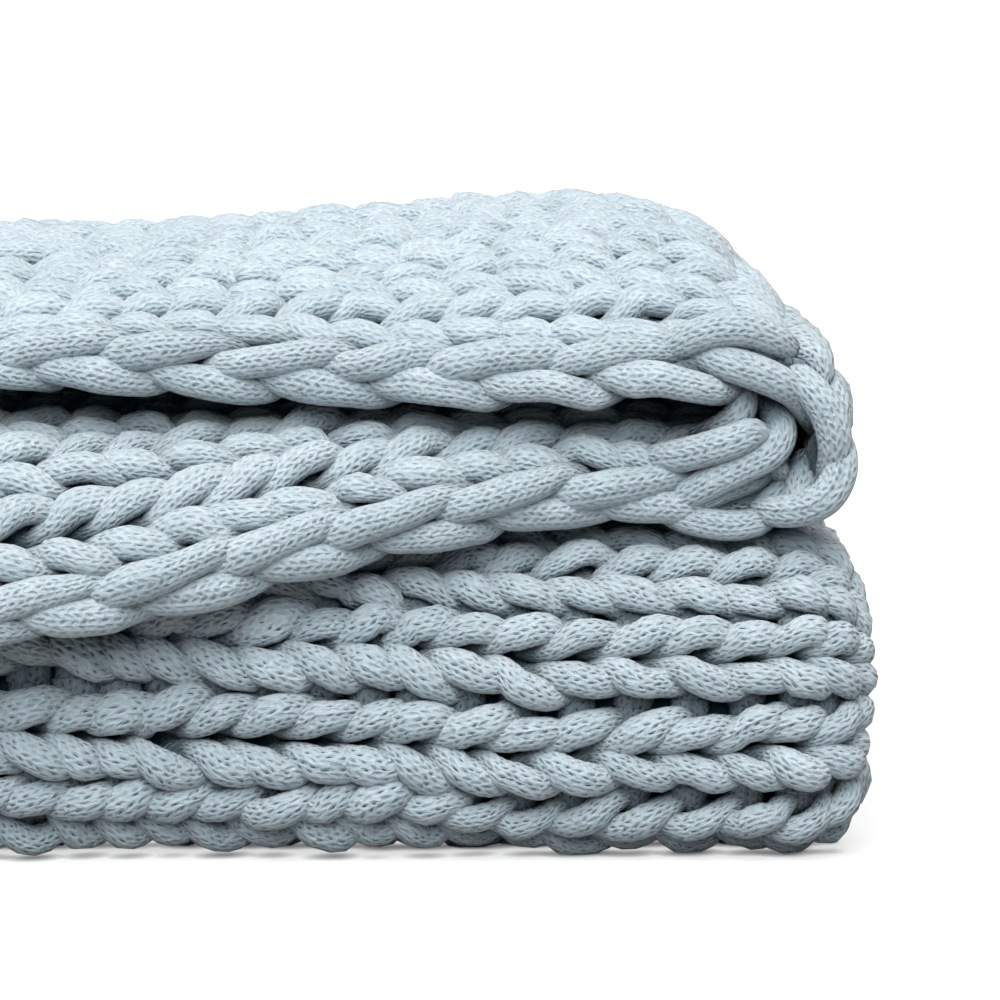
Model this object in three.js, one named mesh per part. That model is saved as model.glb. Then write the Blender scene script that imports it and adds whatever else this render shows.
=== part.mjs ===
// A chunky rib-knit throw, folded for a shelf. Millimetres, +Z up, front towards -Y, ribs along X.
//
// The throw is one knitted cloth. It is first folded in half across its ribs, with that fold at the
// right, which makes a doubled cloth of an upper and a lower leaf. The doubled cloth is then laid back
// and forth in three: forwards along the bottom, up round the front fold, back through the middle, up
// round the back fold, and forwards again on top, where both leaves end in their side edges. The top
// swells up behind its front edge, and the lower leaf's edge droops over the front fold.
import * as THREE from "three";

// Knit gauge: a rib's width on flat cloth, and the length that one row of knitting adds along a rib.
const RIB_PITCH = 19.25;
const ROW_PITCH = 13.4;

// Cloth thickness, from its middle to the crest or the groove of a rib on either face.
const CREST = 9.5;
const GROOVE = 6.3;
const CREST_SHARE = 0.4; // the part of a rib's width that its flat crest takes
const EDGE_SHARE = 0.55; // the part of the thickness left at a side edge, where the last rib rolls over
const BEND_THICKNESS = 7; // the most that the cloth can take up on the inner side of a tight bend

// Doubled cloth: the spacing of its leaves, their length, and the rows that go into the fold at the right.
const LEAF_PITCH = 20;
const LEAF_ROWS = 55;
const END_FOLD_ROWS = 4;
const LEAF_LENGTH = LEAF_ROWS * ROW_PITCH;
const END_FOLD = END_FOLD_ROWS * ROW_PITCH;
const HALF_PITCH = LEAF_PITCH / 2;
const LOWER_LEAF_SHORT = 8; // the lower leaf's left edge stops this much sooner than the upper one's
const TOP_SETBACK = 4; // the top's right-hand fold stands this much short of the one below it

// The parts of the way that the doubled cloth takes, in ribs. The front fold begins half a rib on, so that a
// groove runs along its middle.
const WAY = {
  bottom: { from: 0, ribs: 18.5 },
  frontFold: { from: 18.5, ribs: 5 },
  middle: { from: 23.5, ribs: 18 },
  backFold: { from: 41.5, ribs: 5.5 },
  top: { from: 47, ribs: 19 },
};
const RIBS = WAY.top.from + WAY.top.ribs;
const TOP_EASE = 2; // ribs over which the top draws back to its setback

// Heights of the doubled cloth's middle in each part, and the depth between the axes of its two folds.
const FOLD_RADIUS = LEAF_PITCH;
const BOTTOM_Z = HALF_PITCH + CREST;
const MIDDLE_Z = BOTTOM_Z + 2 * FOLD_RADIUS;
const TOP_Z = MIDDLE_Z + 2 * FOLD_RADIUS;
const FOLD_DEPTH = WAY.middle.ribs * RIB_PITCH;
const EDGE_REACH = WAY.top.ribs * RIB_PITCH - FOLD_DEPTH; // upper edge, in front of the front fold's axis

// The lower half of the front fold sags forwards and down on to the surface under it, as shares of its radius.
const SAG_FORWARD = 0.8;
const SAG_DOWN = 0.48;

// The drooping lower edge bends down in front of the front fold, well clear of it.
const DRAPE_CLEARANCE = 24.5;
const DRAPE_RADIUS = 2 * LEAF_PITCH + CREST + DRAPE_CLEARANCE;

// How the two top leaves rise, by the distance behind each leaf's own edge: open parts the upper leaf from
// the lower one all along, and upper and lower are the swell of each leaf.
const TOP_RISE = [
  { behind: 0, open: 8, upper: 0, lower: 0 },
  { behind: 12, open: 8, upper: 7.5, lower: 4 },
  { behind: 24, open: 8, upper: 13, lower: 7 },
  { behind: 40, open: 8, upper: 19, lower: 9.5 },
  { behind: 64, open: 8, upper: 25, lower: 11 },
  { behind: 94, open: 8, upper: 29, lower: 14 },
  { behind: 129, open: 8, upper: 31, lower: 17 },
  { behind: 199, open: 7, upper: 26, lower: 16 },
  { behind: 284, open: 4, upper: 11, lower: 7 },
  { behind: FOLD_DEPTH + EDGE_REACH, open: 0, upper: 0, lower: 0 },
];

// The share of the swell that is left, by the distance in from the right-hand fold.
const SWELL_SHARE = [
  { inset: -HALF_PITCH, share: 0 },
  { inset: 0, share: 0.16 },
  { inset: 6, share: 0.41 },
  { inset: 12, share: 0.67 },
  { inset: 17, share: 0.81 },
  { inset: 24, share: 0.93 },
  { inset: 33, share: 1.02 },
  { inset: 44, share: 1.07 },
  { inset: 60, share: 1.04 },
  { inset: 80, share: 0.96 },
  { inset: 110, share: 0.88 },
  { inset: 140, share: 0.8 },
  { inset: 170, share: 0.77 },
  { inset: 420, share: 0.76 },
  { inset: LEAF_LENGTH, share: 0.7 },
];

// How far the lower leaf reaches in front of the front fold's axis, by the distance in from the right.
const LOWER_REACH = [
  { inset: 0, reach: EDGE_REACH },
  { inset: 45, reach: 21.5 },
  { inset: 70, reach: 29 },
  { inset: 95, reach: 38.5 },
  { inset: 120, reach: 47.5 },
  { inset: 142, reach: 56 },
  { inset: 168, reach: 62.5 },
  { inset: 195, reach: 66 },
  { inset: 240, reach: 67 },
  { inset: 480, reach: 63 },
  { inset: LEAF_LENGTH, reach: 58 },
];

// Stations along a leaf, as distances in from the right-hand fold, on the outer and the inner face.
const OUTER_STATIONS = [0, 14, 40, 90, 140, 195, 290, LEAF_LENGTH];
const INNER_STATIONS = [0, 60, 160, LEAF_LENGTH];
const OUTER_TURN_STEPS = 6;
const INNER_TURN_STEPS = 3;
const STEP = 0.01; // step of the slopes that give the cloth's normal, in ribs and in millimetres

const KNIT = new THREE.MeshStandardMaterial({ color: 0xb3c6cf, roughness: 0.95, metalness: 0 });

// A column of a table at a place between its rows, on a smooth curve through them.
function readTable(table, by, column, at) {
  const last = table.length - 1;
  if (at <= table[0][by]) return table[0][column];
  if (at >= table[last][by]) return table[last][column];
  const slope = (k) => {
    const from = table[Math.max(k - 1, 0)];
    const to = table[Math.min(k + 1, last)];
    return (to[column] - from[column]) / (to[by] - from[by]);
  };
  const i = table.findIndex((row) => row[by] > at) - 1;
  const width = table[i + 1][by] - table[i][by];
  const t = (at - table[i][by]) / width;
  const start = (1 + 2 * t) * table[i][column] + t * width * slope(i);
  const end = (3 - 2 * t) * table[i + 1][column] + (t - 1) * width * slope(i + 1);
  return (1 - t) ** 2 * start + t ** 2 * end;
}

// The doubled cloth's own section, from its place along the cloth: the upper leaf up to 0, the end fold,
// then the lower leaf. off is the distance from the section's middle line towards the lower leaf, and
// leaf goes from 0 on the upper leaf to 1 on the lower one.
function doubledAt(along, thickness = 0) {
  const reach = HALF_PITCH + thickness;
  if (along <= 0) return { inset: -along, off: -reach, leaf: 0 };
  if (along >= END_FOLD) return { inset: along - END_FOLD, off: reach, leaf: 1 };
  const angle = (Math.PI * along) / END_FOLD;
  return { inset: -reach * Math.sin(angle), off: -reach * Math.cos(angle), leaf: (1 - Math.cos(angle)) / 2 };
}

// Depth and height of a point off the doubled cloth's middle line, anywhere below the top.
function belowTop(rib, off) {
  const turn = (fold) => (Math.PI * (rib - fold.from)) / fold.ribs;
  if (rib < WAY.frontFold.from) {
    return [(WAY.frontFold.from - rib) * RIB_PITCH, BOTTOM_Z - off];
  }
  if (rib < WAY.middle.from) {
    const angle = turn(WAY.frontFold);
    const radius = FOLD_RADIUS + off;
    const sag = angle < Math.PI / 2 ? (Math.sin(angle) * Math.cos(angle)) ** 2 : 0;
    const forward = Math.sin(angle) + SAG_FORWARD * sag;
    const down = Math.cos(angle) + SAG_DOWN * sag;
    return [-radius * forward, BOTTOM_Z + FOLD_RADIUS - radius * down];
  }
  if (rib < WAY.backFold.from) {
    return [(rib - WAY.middle.from) * RIB_PITCH, MIDDLE_Z + off];
  }
  const angle = turn(WAY.backFold);
  const radius = FOLD_RADIUS - off;
  return [FOLD_DEPTH + radius * Math.sin(angle), MIDDLE_Z + FOLD_RADIUS - radius * Math.cos(angle)];
}

// Depth and height on the top's upper leaf: level cloth, lifted by its rise.
function upperTop(rib, inset, off) {
  const y = FOLD_DEPTH - (rib - WAY.top.from) * RIB_PITCH;
  const behind = y + EDGE_REACH;
  const open = readTable(TOP_RISE, "behind", "open", behind);
  const rise = readTable(TOP_RISE, "behind", "upper", behind);
  return [y, TOP_Z - off + open + rise * readTable(SWELL_SHARE, "inset", "share", inset)];
}

// Depth and height on the top's lower leaf, which reaches further and bends down in front of the front fold.
function lowerTop(rib, inset, off) {
  const reach = readTable(LOWER_REACH, "inset", "reach", inset);
  const stretch = (FOLD_DEPTH + reach) / (FOLD_DEPTH + EDGE_REACH);
  const y = FOLD_DEPTH - (rib - WAY.top.from) * RIB_PITCH * stretch;
  const rise = readTable(TOP_RISE, "behind", "lower", y + reach);
  const swell = rise * readTable(SWELL_SHARE, "inset", "share", inset);
  if (y >= 0) return [y, TOP_Z - off + swell];
  const angle = -y / DRAPE_RADIUS;
  const radius = DRAPE_RADIUS + HALF_PITCH - off;
  return [-radius * Math.sin(angle), TOP_Z - HALF_PITCH - DRAPE_RADIUS + radius * Math.cos(angle) + swell];
}

// A point on the middle of the cloth, from its place across the ribs and along them.
function clothMiddle(rib, along) {
  const { inset, off, leaf } = doubledAt(along);
  if (rib <= WAY.top.from) {
    return new THREE.Vector3(-inset, ...belowTop(rib, off));
  }
  const upper = upperTop(rib, inset, off);
  const lower = lowerTop(rib, inset, off);
  const setback = TOP_SETBACK * Math.min(1, (rib - WAY.top.from) / TOP_EASE);
  const [y, z] = upper.map((value, i) => THREE.MathUtils.lerp(value, lower[i], leaf));
  return new THREE.Vector3(-inset - setback, y, z);
}

// The direction from the middle of the cloth to its outer face.
function clothNormal(rib, along) {
  const slope = (a, b) => clothMiddle(...b).sub(clothMiddle(...a));
  const acrossRibs = slope([rib - STEP, along], [rib + STEP, along]);
  const alongRibs = slope([rib, along - STEP], [rib, along + STEP]);
  return acrossRibs.cross(alongRibs).normalize();
}

// Thickness of the cloth on its outer and inner face. The inner face's ribs stand behind the outer grooves.
function thicknessAt({ rib, inGroove }, along) {
  const left = rib === 0 || rib === RIBS ? EDGE_SHARE : 1;
  const outer = left * (inGroove ? GROOVE : CREST);
  const inner = left * (inGroove ? CREST : GROOVE);
  const inside = (fold) => rib > fold.from && rib < fold.from + fold.ribs;
  const { leaf } = doubledAt(along);
  const innerLeaf = (inside(WAY.frontFold) && leaf < 0.5) || (inside(WAY.backFold) && leaf > 0.5);
  const inEndFold = along >= 0 && along <= END_FOLD;
  return {
    outer: innerLeaf ? Math.min(outer, BEND_THICKNESS) : outer,
    inner: inEndFold ? Math.min(inner, BEND_THICKNESS) : inner,
  };
}

// Sections across the way: for each rib its groove, then the two sides of its crest, or in the hidden
// middle the crest's own line.
function sectionList() {
  const list = [];
  for (let rib = 0; rib < RIBS; rib += 1) {
    const hidden = rib > WAY.middle.from && rib + 1 < WAY.backFold.from;
    const crest = hidden ? [0.5] : [(1 - CREST_SHARE) / 2, (1 + CREST_SHARE) / 2];
    list.push({ rib, inGroove: true });
    list.push(...crest.map((share) => ({ rib: rib + share, inGroove: false })));
  }
  list.push({ rib: RIBS, inGroove: true });
  return list;
}

// Places along the cloth, from the upper leaf's left edge round the end fold to the lower leaf's left edge.
function placesAlong(stations, turnSteps) {
  const upper = stations.map((inset) => -inset).reverse();
  const turn = Array.from({ length: turnSteps - 1 }, (_, k) => (END_FOLD * (k + 1)) / turnSteps);
  const lower = stations.map((inset) => END_FOLD + Math.min(inset, LEAF_LENGTH - LOWER_LEAF_SHORT));
  return [...upper, ...turn, ...lower];
}

// The closed outline of any section: along its outer face, then back along its inner face.
function sectionOutline() {
  const outer = placesAlong(OUTER_STATIONS, OUTER_TURN_STEPS).map((along) => ({ along, outside: true }));
  const inner = placesAlong(INNER_STATIONS, INNER_TURN_STEPS).map((along) => ({ along, outside: false }));
  return [...outer, ...inner.reverse()];
}

// A point on the cloth's skin.
function skinPoint(section, { along, outside }) {
  const { outer, inner } = thicknessAt(section, along);
  const normal = clothNormal(section.rib, along);
  return clothMiddle(section.rib, along).addScaledVector(normal, outside ? outer : -inner);
}

// The triangles that close a side edge, laid out on the doubled cloth's own flat section.
function edgeTriangles(outline) {
  const flat = outline.map(({ along, outside }) => {
    const { inset, off } = doubledAt(along, outside ? GROOVE : -GROOVE);
    return new THREE.Vector2(-inset, off);
  });
  return THREE.ShapeUtils.triangulateShape(flat, []);
}

// The cloth's skin: a strip of triangles from each section to the next, closed at both side edges.
function throwGeometry() {
  const sections = sectionList();
  const outline = sectionOutline();
  const size = outline.length;
  const lastSection = (sections.length - 1) * size;
  const points = sections.flatMap((section) => outline.map((place) => skinPoint(section, place)));
  const index = [];
  for (let from = 0; from < lastSection; from += size) {
    for (let j = 0; j < size; j += 1) {
      const next = (j + 1) % size;
      index.push(from + j, from + size + next, from + next);
      index.push(from + j, from + size + j, from + size + next);
    }
  }
  for (const [a, b, c] of edgeTriangles(outline)) {
    index.push(a, b, c);
    index.push(lastSection + c, lastSection + b, lastSection + a);
  }
  return new THREE.BufferGeometry().setFromPoints(points).setIndex(index);
}

// The throw stands with the middle of its underside at the origin.
const geometry = throwGeometry();
geometry.computeBoundingBox();
const middle = geometry.boundingBox.getCenter(new THREE.Vector3());
geometry.translate(-middle.x, -middle.y, -geometry.boundingBox.min.z);
geometry.computeVertexNormals();

const knitThrow = new THREE.Mesh(geometry, KNIT);
knitThrow.name = "throw";

const part = new THREE.Group();
part.add(knitThrow);

export default part;
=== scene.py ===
# Looks of the folded chunky knit throw: its yarn, stitch by stitch, laid on the folds of the CAD cloth.
import math

import bpy
import numpy as np
from mathutils import Euler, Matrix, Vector


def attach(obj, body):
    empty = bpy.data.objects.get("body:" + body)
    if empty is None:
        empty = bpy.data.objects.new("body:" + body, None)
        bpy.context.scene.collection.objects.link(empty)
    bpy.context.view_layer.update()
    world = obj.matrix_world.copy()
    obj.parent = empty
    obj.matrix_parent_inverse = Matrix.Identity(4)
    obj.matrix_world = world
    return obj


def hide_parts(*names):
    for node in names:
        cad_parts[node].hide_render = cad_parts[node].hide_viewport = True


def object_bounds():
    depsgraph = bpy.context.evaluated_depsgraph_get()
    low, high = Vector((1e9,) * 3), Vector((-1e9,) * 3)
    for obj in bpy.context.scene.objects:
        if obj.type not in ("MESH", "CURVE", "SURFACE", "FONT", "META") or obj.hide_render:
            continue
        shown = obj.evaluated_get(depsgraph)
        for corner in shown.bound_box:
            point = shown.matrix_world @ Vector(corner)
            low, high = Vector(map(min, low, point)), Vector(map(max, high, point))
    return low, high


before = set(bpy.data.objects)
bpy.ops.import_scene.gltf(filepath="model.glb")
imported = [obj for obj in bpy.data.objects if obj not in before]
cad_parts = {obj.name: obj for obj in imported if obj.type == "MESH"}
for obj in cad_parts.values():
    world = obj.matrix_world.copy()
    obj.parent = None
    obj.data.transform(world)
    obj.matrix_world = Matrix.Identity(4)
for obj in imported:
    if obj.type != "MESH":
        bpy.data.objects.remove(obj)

CAD_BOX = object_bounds()
MM = 0.001

# Knit gauge and cloth thickness, in millimetres.
RIB_PITCH = 19.25
ROW_PITCH = 13.4
CREST = 9.5

# Doubled cloth: the spacing of its leaves, their rows, the rows in the fold at the right, and how much
# shorter the lower leaf is at the left.
LEAF_PITCH = 20
HALF_PITCH = LEAF_PITCH / 2
LEAF_ROWS = 55
END_FOLD_ROWS = 4
LEAF_LENGTH = LEAF_ROWS * ROW_PITCH
END_FOLD = END_FOLD_ROWS * ROW_PITCH
LOWER_LEAF_SHORT = 8
LEAVES_END = END_FOLD + LEAF_LENGTH - LOWER_LEAF_SHORT

# How far the top's end fold lies back from the one below it, and over how many ribs it gets there.
TOP_SETBACK = 4
TOP_EASE = 2

# Where each part of the way that the doubled cloth takes begins, in ribs.
FRONT_FOLD = 18.5
MIDDLE = 23.5
BACK_FOLD = 41.5
TOP = 47
RIBS = 66
FRONT_RIBS = MIDDLE - FRONT_FOLD
BACK_RIBS = TOP - BACK_FOLD

# Heights of the doubled cloth's middle, and the depth between the axes of its two folds.
FOLD_RADIUS = LEAF_PITCH
BOTTOM_Z = HALF_PITCH + CREST
MIDDLE_Z = BOTTOM_Z + 2 * FOLD_RADIUS
TOP_Z = MIDDLE_Z + 2 * FOLD_RADIUS
FOLD_DEPTH = (BACK_FOLD - MIDDLE) * RIB_PITCH

# How far the top reaches past the front fold's axis, and the radius in which its lower leaf bends down,
# with some room over the front fold.
EDGE_REACH = (RIBS - TOP) * RIB_PITCH - FOLD_DEPTH
DRAPE_ROOM = 24.5
DRAPE_RADIUS = 2 * LEAF_PITCH + CREST + DRAPE_ROOM

# The lower half of the front fold sags forwards and down, as shares of its radius.
SAG_FORWARD = 0.8
SAG_DOWN = 0.48

# How the two top leaves rise, by the distance behind each leaf's own edge.
RISE_BEHIND = [0, 12, 24, 40, 64, 94, 129, 199, 284, FOLD_DEPTH + EDGE_REACH]
RISE_OPEN = [8, 8, 8, 8, 8, 8, 8, 7, 4, 0]
RISE_UPPER = [0, 7.5, 13, 19, 25, 29, 31, 26, 11, 0]
RISE_LOWER = [0, 4, 7, 9.5, 11, 14, 17, 16, 7, 0]

# The share of the swell that is left, by the distance in from the right-hand fold.
SHARE_INSET = [-HALF_PITCH, 0, 6, 12, 17, 24, 33, 44, 60, 80, 110, 140, 170, 420, LEAF_LENGTH]
SHARE_LEFT = [0, 0.16, 0.41, 0.67, 0.81, 0.93, 1.02, 1.07, 1.04, 0.96, 0.88, 0.8, 0.77, 0.76, 0.7]

# How far the lower leaf reaches in front of the front fold's axis, by the distance in from the right.
REACH_INSET = [0, 45, 70, 95, 120, 142, 168, 195, 240, 480, LEAF_LENGTH]
REACH = [EDGE_REACH, 21.5, 29, 38.5, 47.5, 56, 62.5, 66, 67, 63, 58]

# How the upper leaf's edge sags, by the distance in from the right-hand fold, and over how many ribs.
SAG_RIBS = 4
SAG_INSET = [0, 25, 50, 80, 110, 150, 200, LEAF_LENGTH]
SAG = [0, 0.5, -1, -2.2, -1.6, 0, 1, 0]

# Where the end fold and the front fold's axis lie in the frame, from the CAD box.
RIGHT_END = CAD_BOX[1].x / MM - HALF_PITCH - CREST
BACK_REACH = FOLD_RADIUS + HALF_PITCH + CREST
FRONT_AXIS = CAD_BOX[1].y / MM - FOLD_DEPTH - BACK_REACH
TOP_RIGHT = RIGHT_END - TOP_SETBACK + HALF_PITCH + CREST

# The seed of the first piece's random draws, the step over which the cloth's slopes are measured, and the
# least length that a direction is worked out from.
SEED = 11
SLOPE_STEP = 0.01
LEAST_LENGTH = 1e-9


# The folded cloth

def smooth_curve(xs, ys, at):
    """A smooth curve through points, as the CAD cloth's tables are read."""
    xs = np.array(xs, float)
    ys = np.array(ys, float)
    order = np.arange(len(xs))
    before = np.maximum(order - 1, 0)
    after = np.minimum(order + 1, len(xs) - 1)
    slopes = (ys[after] - ys[before]) / (xs[after] - xs[before])
    at = np.clip(at, xs[0], xs[-1])
    i = np.clip(np.searchsorted(xs, at, side="right") - 1, 0, len(xs) - 2)
    width = xs[i + 1] - xs[i]
    t = (at - xs[i]) / width
    start = (1 + 2 * t) * ys[i] + t * width * slopes[i]
    end = (3 - 2 * t) * ys[i + 1] + (t - 1) * width * slopes[i + 1]
    return (1 - t) ** 2 * start + t ** 2 * end


def doubled_at(along):
    """The doubled cloth's section: distance in from the fold, distance off its middle line, and leaf."""
    angle = np.pi * np.clip(along / END_FOLD, 0, 1)
    turning = -HALF_PITCH * np.sin(angle)
    inset = np.where(along <= 0, -along, np.where(along >= END_FOLD, along - END_FOLD, turning))
    return inset, -HALF_PITCH * np.cos(angle), (1 - np.cos(angle)) / 2


def below_top(rib, off):
    """Depth and height anywhere below the top."""
    front = np.pi * (rib - FRONT_FOLD) / FRONT_RIBS
    back = np.pi * (rib - BACK_FOLD) / BACK_RIBS
    sag = np.where(front < np.pi / 2, (np.sin(front) * np.cos(front)) ** 2, 0)
    parts = [rib < FRONT_FOLD, rib < MIDDLE, rib < BACK_FOLD]
    y = np.select(
        parts,
        [
            (FRONT_FOLD - rib) * RIB_PITCH,
            -(FOLD_RADIUS + off) * (np.sin(front) + SAG_FORWARD * sag),
            (rib - MIDDLE) * RIB_PITCH,
        ],
        FOLD_DEPTH + (FOLD_RADIUS - off) * np.sin(back),
    )
    z = np.select(
        parts,
        [
            BOTTOM_Z - off,
            BOTTOM_Z + FOLD_RADIUS - (FOLD_RADIUS + off) * (np.cos(front) + SAG_DOWN * sag),
            MIDDLE_Z + off,
        ],
        MIDDLE_Z + FOLD_RADIUS - (FOLD_RADIUS - off) * np.cos(back),
    )
    return y, z


def upper_top(rib, inset, off):
    """Depth and height on the top's upper leaf."""
    y = FOLD_DEPTH - (rib - TOP) * RIB_PITCH
    behind = y + EDGE_REACH
    swell = smooth_curve(SHARE_INSET, SHARE_LEFT, inset) * smooth_curve(RISE_BEHIND, RISE_UPPER, behind)
    return y, TOP_Z - off + smooth_curve(RISE_BEHIND, RISE_OPEN, behind) + swell


def lower_top(rib, inset, off):
    """Depth and height on the top's lower leaf, which bends down round the front fold."""
    reach = smooth_curve(REACH_INSET, REACH, inset)
    y = FOLD_DEPTH - (rib - TOP) * RIB_PITCH * (FOLD_DEPTH + reach) / (FOLD_DEPTH + EDGE_REACH)
    behind = y + reach
    swell = smooth_curve(SHARE_INSET, SHARE_LEFT, inset) * smooth_curve(RISE_BEHIND, RISE_LOWER, behind)
    angle = np.maximum(-y, 0) / DRAPE_RADIUS
    radius = DRAPE_RADIUS + HALF_PITCH - off
    bent_z = TOP_Z - HALF_PITCH - DRAPE_RADIUS + radius * np.cos(angle)
    return np.where(y >= 0, y, -radius * np.sin(angle)), np.where(y >= 0, TOP_Z - off, bent_z) + swell


def cloth_middle(rib, along):
    """Points on the middle of the cloth, in the frame, in millimetres."""
    rib, along = np.broadcast_arrays(np.asarray(rib, float), np.asarray(along, float))
    inset, off, leaf = doubled_at(along)
    y, z = below_top(rib, off)
    upper_y, upper_z = upper_top(rib, inset, off)
    lower_y, lower_z = lower_top(rib, inset, off)
    on_top = rib > TOP
    y = np.where(on_top, upper_y + (lower_y - upper_y) * leaf, y)
    z = np.where(on_top, upper_z + (lower_z - upper_z) * leaf, z)
    setback = TOP_SETBACK * np.clip((rib - TOP) / TOP_EASE, 0, 1)
    return np.stack([RIGHT_END - inset - setback, FRONT_AXIS + y, z], -1)


def unit(vectors):
    """Vectors of length 1, and none for those without a length."""
    return vectors / np.maximum(np.linalg.norm(vectors, axis=-1, keepdims=True), LEAST_LENGTH)


def cloth_axes(rib, along):
    """Unit directions across the ribs, along them, and out of the cloth's outer face."""
    across = cloth_middle(rib + SLOPE_STEP, along) - cloth_middle(rib - SLOPE_STEP, along)
    forward = cloth_middle(rib, along + SLOPE_STEP) - cloth_middle(rib, along - SLOPE_STEP)
    return unit(across), unit(forward), unit(np.cross(across, forward))


def ease(x, start, end):
    """A smooth step from 0 at start to 1 at end."""
    t = np.clip((x - start) / (end - start), 0, 1)
    return t * t * (3 - 2 * t)


# Slow unevenness of hand-laid cloth: waves over ribs and rows, as (ribs, rows, size) for each wave. The
# first wave of each kind has a phase of its own, and the next ones start a turn further on.
WANDER_RIBS = [(9.0, 31.0, 0.05), (5.5, 17.0, 0.04), (23.0, 11.0, 0.03)]
WANDER_HEIGHT = [(7.0, 21.0, 0.5), (13.0, 9.0, 0.45), (4.2, 37.0, 0.35)]
RIBS_PHASE = 0.4
HEIGHT_PHASE = 2.1
WAVE_TURN = 1.7

# The end fold's lower corner at the front draws in: how far, over which ribs and over what length.
TUCK = 2.0
TUCK_STARTS = (12, 17)
TUCK_ENDS = (18.9, 20.3)
TUCK_LONG = 60

# The front fold's lowest legs of yarn lie pressed down: how far, and over which ribs.
PRESS = 1.3
PRESS_STARTS = (18.2, 19)
PRESS_ENDS = (19.5, 20.1)

# Yarn that would pass an end of the cloth is drawn in: over what length, and over what share of a rib.
DRAW_IN = 10.0
DRAW_IN_RIBS = 0.4


def run_out(distance, room):
    """Distances to an end, which shrink gently once they are less than room and stay above zero."""
    return np.where(distance > room, distance, room * np.exp(np.minimum(distance / room, 1) - 1))


def kept_between(x, low, high, room):
    """Values drawn in where they come close to either end or would pass it."""
    x = low + run_out(x - low, room)
    return high - run_out(high - x, room)


def kept_on_leaves(along):
    """Places along the cloth, drawn in at the left ends of its leaves."""
    return kept_between(along, -LEAF_LENGTH, LEAVES_END, DRAW_IN)


def wander(waves, rib, along, phase):
    """The sum of the waves at places on the cloth."""
    rows = along / ROW_PITCH
    total = 0.0
    for k, (ribs_long, rows_long, size) in enumerate(waves):
        start = phase + WAVE_TURN * k
        total = total + size * np.sin(2 * np.pi * (rib / ribs_long + rows / rows_long) + start)
    return total


def cloth_place(rib, along, height):
    """Points at a height over the cloth's middle, with its slow unevenness, and the axes there."""
    rib = rib + wander(WANDER_RIBS, rib, along, RIBS_PHASE)
    across, forward, out = cloth_axes(rib, along)
    sag = smooth_curve(SAG_INSET, SAG, -along) * ease(rib, RIBS - SAG_RIBS, RIBS)
    sag = sag * ease(-along, 0, ROW_PITCH)
    lift = wander(WANDER_HEIGHT, rib, along, HEIGHT_PHASE) + sag
    place = cloth_middle(rib, along) + (height + lift)[..., None] * out
    low = ease(rib, *TUCK_STARTS) * (1 - ease(rib, *TUCK_ENDS))
    place[..., 0] -= TUCK * low * (1 - ease(doubled_at(along)[0], -HALF_PITCH, TUCK_LONG))
    place[..., 2] -= PRESS * ease(rib, *PRESS_STARTS) * (1 - ease(rib, *PRESS_ENDS))
    return place, across, forward, out


# Yarn

# What each point of a strand gives: its place to the side, along its way and in height, half the width and
# half the thickness of its yarn, and how freely it may vary there.
SIDE, WAY, HEIGHT, WIDTH, THICKNESS, FREEDOM = range(6)
GIRTH = slice(WIDTH, THICKNESS + 1)


def curve_weights(count, samples):
    """Weights that draw a smooth curve through count control points, at the given places along them."""
    weights = np.zeros((len(samples), count))
    for n, place in enumerate(samples):
        i = min(int(place), count - 2)
        t = place - i
        basis = [
            (-t + 2 * t * t - t ** 3) / 2,
            (2 - 5 * t * t + 3 * t ** 3) / 2,
            (t + 4 * t * t - 3 * t ** 3) / 2,
            (-t * t + t ** 3) / 2,
        ]
        for k, share in enumerate(basis):
            weights[n, min(max(i - 1 + k, 0), count - 1)] += share
    return weights


def mirrored(half):
    """A whole loop from its half: the other half runs back with its side turned."""
    half = np.array(half, float)
    back = half[-2::-1].copy()
    back[:, SIDE] *= -1
    return np.concatenate([half, back])


# Half a knit loop, from the bar between ribs up its leg to its head. Side is in half ribs, way in rows,
# and height is over the cloth's middle.
KNIT_LOOP = mirrored([
    (-1.08, -0.50, -0.6, 4.2, 2.6, 0.0),
    (-0.72, -0.50, -0.9, 4.0, 2.6, 0.2),
    (-0.40, -0.42, -0.9, 3.4, 2.6, 0.5),
    (-0.22, -0.25, -0.2, 2.9, 2.7, 0.8),
    (-0.24, -0.02, 2.4, 3.3, 3.1, 1.0),
    (-0.36, 0.22, 4.7, 4.1, 3.5, 1.0),
    (-0.48, 0.48, 6.0, 4.5, 3.7, 1.0),
    (-0.58, 0.75, 5.9, 4.5, 3.6, 1.0),
    (-0.64, 1.00, 4.4, 4.0, 3.4, 1.0),
    (-0.66, 1.22, 1.8, 3.4, 3.1, 1.0),
    (-0.58, 1.42, -1.0, 3.1, 2.8, 0.6),
    (-0.34, 1.58, -2.9, 2.9, 2.6, 0.3),
    (0.00, 1.62, -3.4, 2.9, 2.6, 0.0),
])

# The same loop in relaxed cloth, where the bars between ribs are plumper and close up.
BARS = [0, 1, 2, -3, -2, -1]
RELAXED_BAR_WIDTH = 1.5
RELAXED_LOOP = KNIT_LOOP.copy()
RELAXED_LOOP[BARS, WIDTH] *= RELAXED_BAR_WIDTH

# The same loop in the front fold, where the bars are drawn up into the grooves.
FRONT_BAR_LIFT = 1.0
FRONT_BAR_WIDTH = 1.28
FRONT_LOOP = KNIT_LOOP.copy()
FRONT_LOOP[BARS, HEIGHT] += FRONT_BAR_LIFT
FRONT_LOOP[BARS, WIDTH] *= FRONT_BAR_WIDTH

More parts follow.
